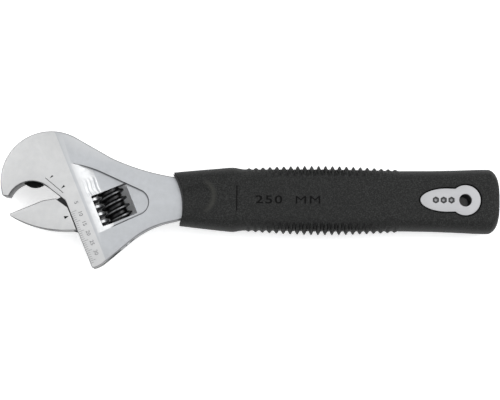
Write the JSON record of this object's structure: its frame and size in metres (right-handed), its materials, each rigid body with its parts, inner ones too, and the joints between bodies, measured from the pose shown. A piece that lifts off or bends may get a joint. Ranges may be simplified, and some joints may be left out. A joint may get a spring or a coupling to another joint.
{
  "type": "adjustable wrench",
  "caption": "Adjustable wrench with a hooked fixed jaw, a pointed sliding jaw moved by a worm, and a ribbed soft grip with a hanging hole.",
  "frame": {"origin": "on the flat back of the grip, at the middle of the wrench's length and the middle of the handle's width", "axes": "+X along the handle to the hanging hole, +Y towards the crown of the fixed jaw, +Z out of the marked face; the wrench lies on its back"},
  "size_m": [0.2499, 0.0684, 0.021],
  "materials": {
    "satin_chrome": "satin",
    "black_oxide": "oiled black oxide",
    "spring_steel": "bright",
    "soft_rubber": "fine texture",
    "hard_plastic": "matte",
    "pale_plastic": "matte"
  },
  "bodies": {
    "handle": {"body": "satin_chrome", "worm_pin": "spring_steel", "worm_spring": "spring_steel", "jaw_insert": "black_oxide", "grip_core": "hard_plastic", "grip_sleeve": "soft_rubber", "badge_front": "pale_plastic", "badge_back": "pale_plastic", "badge_mark": "hard_plastic"},
    "sliding_jaw": {"movable_jaw": "satin_chrome"},
    "adjuster": {"worm": "black_oxide"}
  },
  "joints": [
    {"name": "jaw_slide", "type": "slide", "parent": "handle", "child": "sliding_jaw", "axis": [0.3827, -0.9239, 0], "range_m": [-0.0035, 0.022]},
    {"name": "worm_turn", "type": "hinge", "parent": "handle", "child": "adjuster", "pos_m": [-0.0679, -0.0033, 0.0105], "axis": [0.3827, -0.9239, 0], "range_deg": [-2160, 360]}
  ],
  "couplings": [
    {"joint": "worm_turn", "follows": "jaw_slide", "rad_per_m": -1570.8}
  ]
}
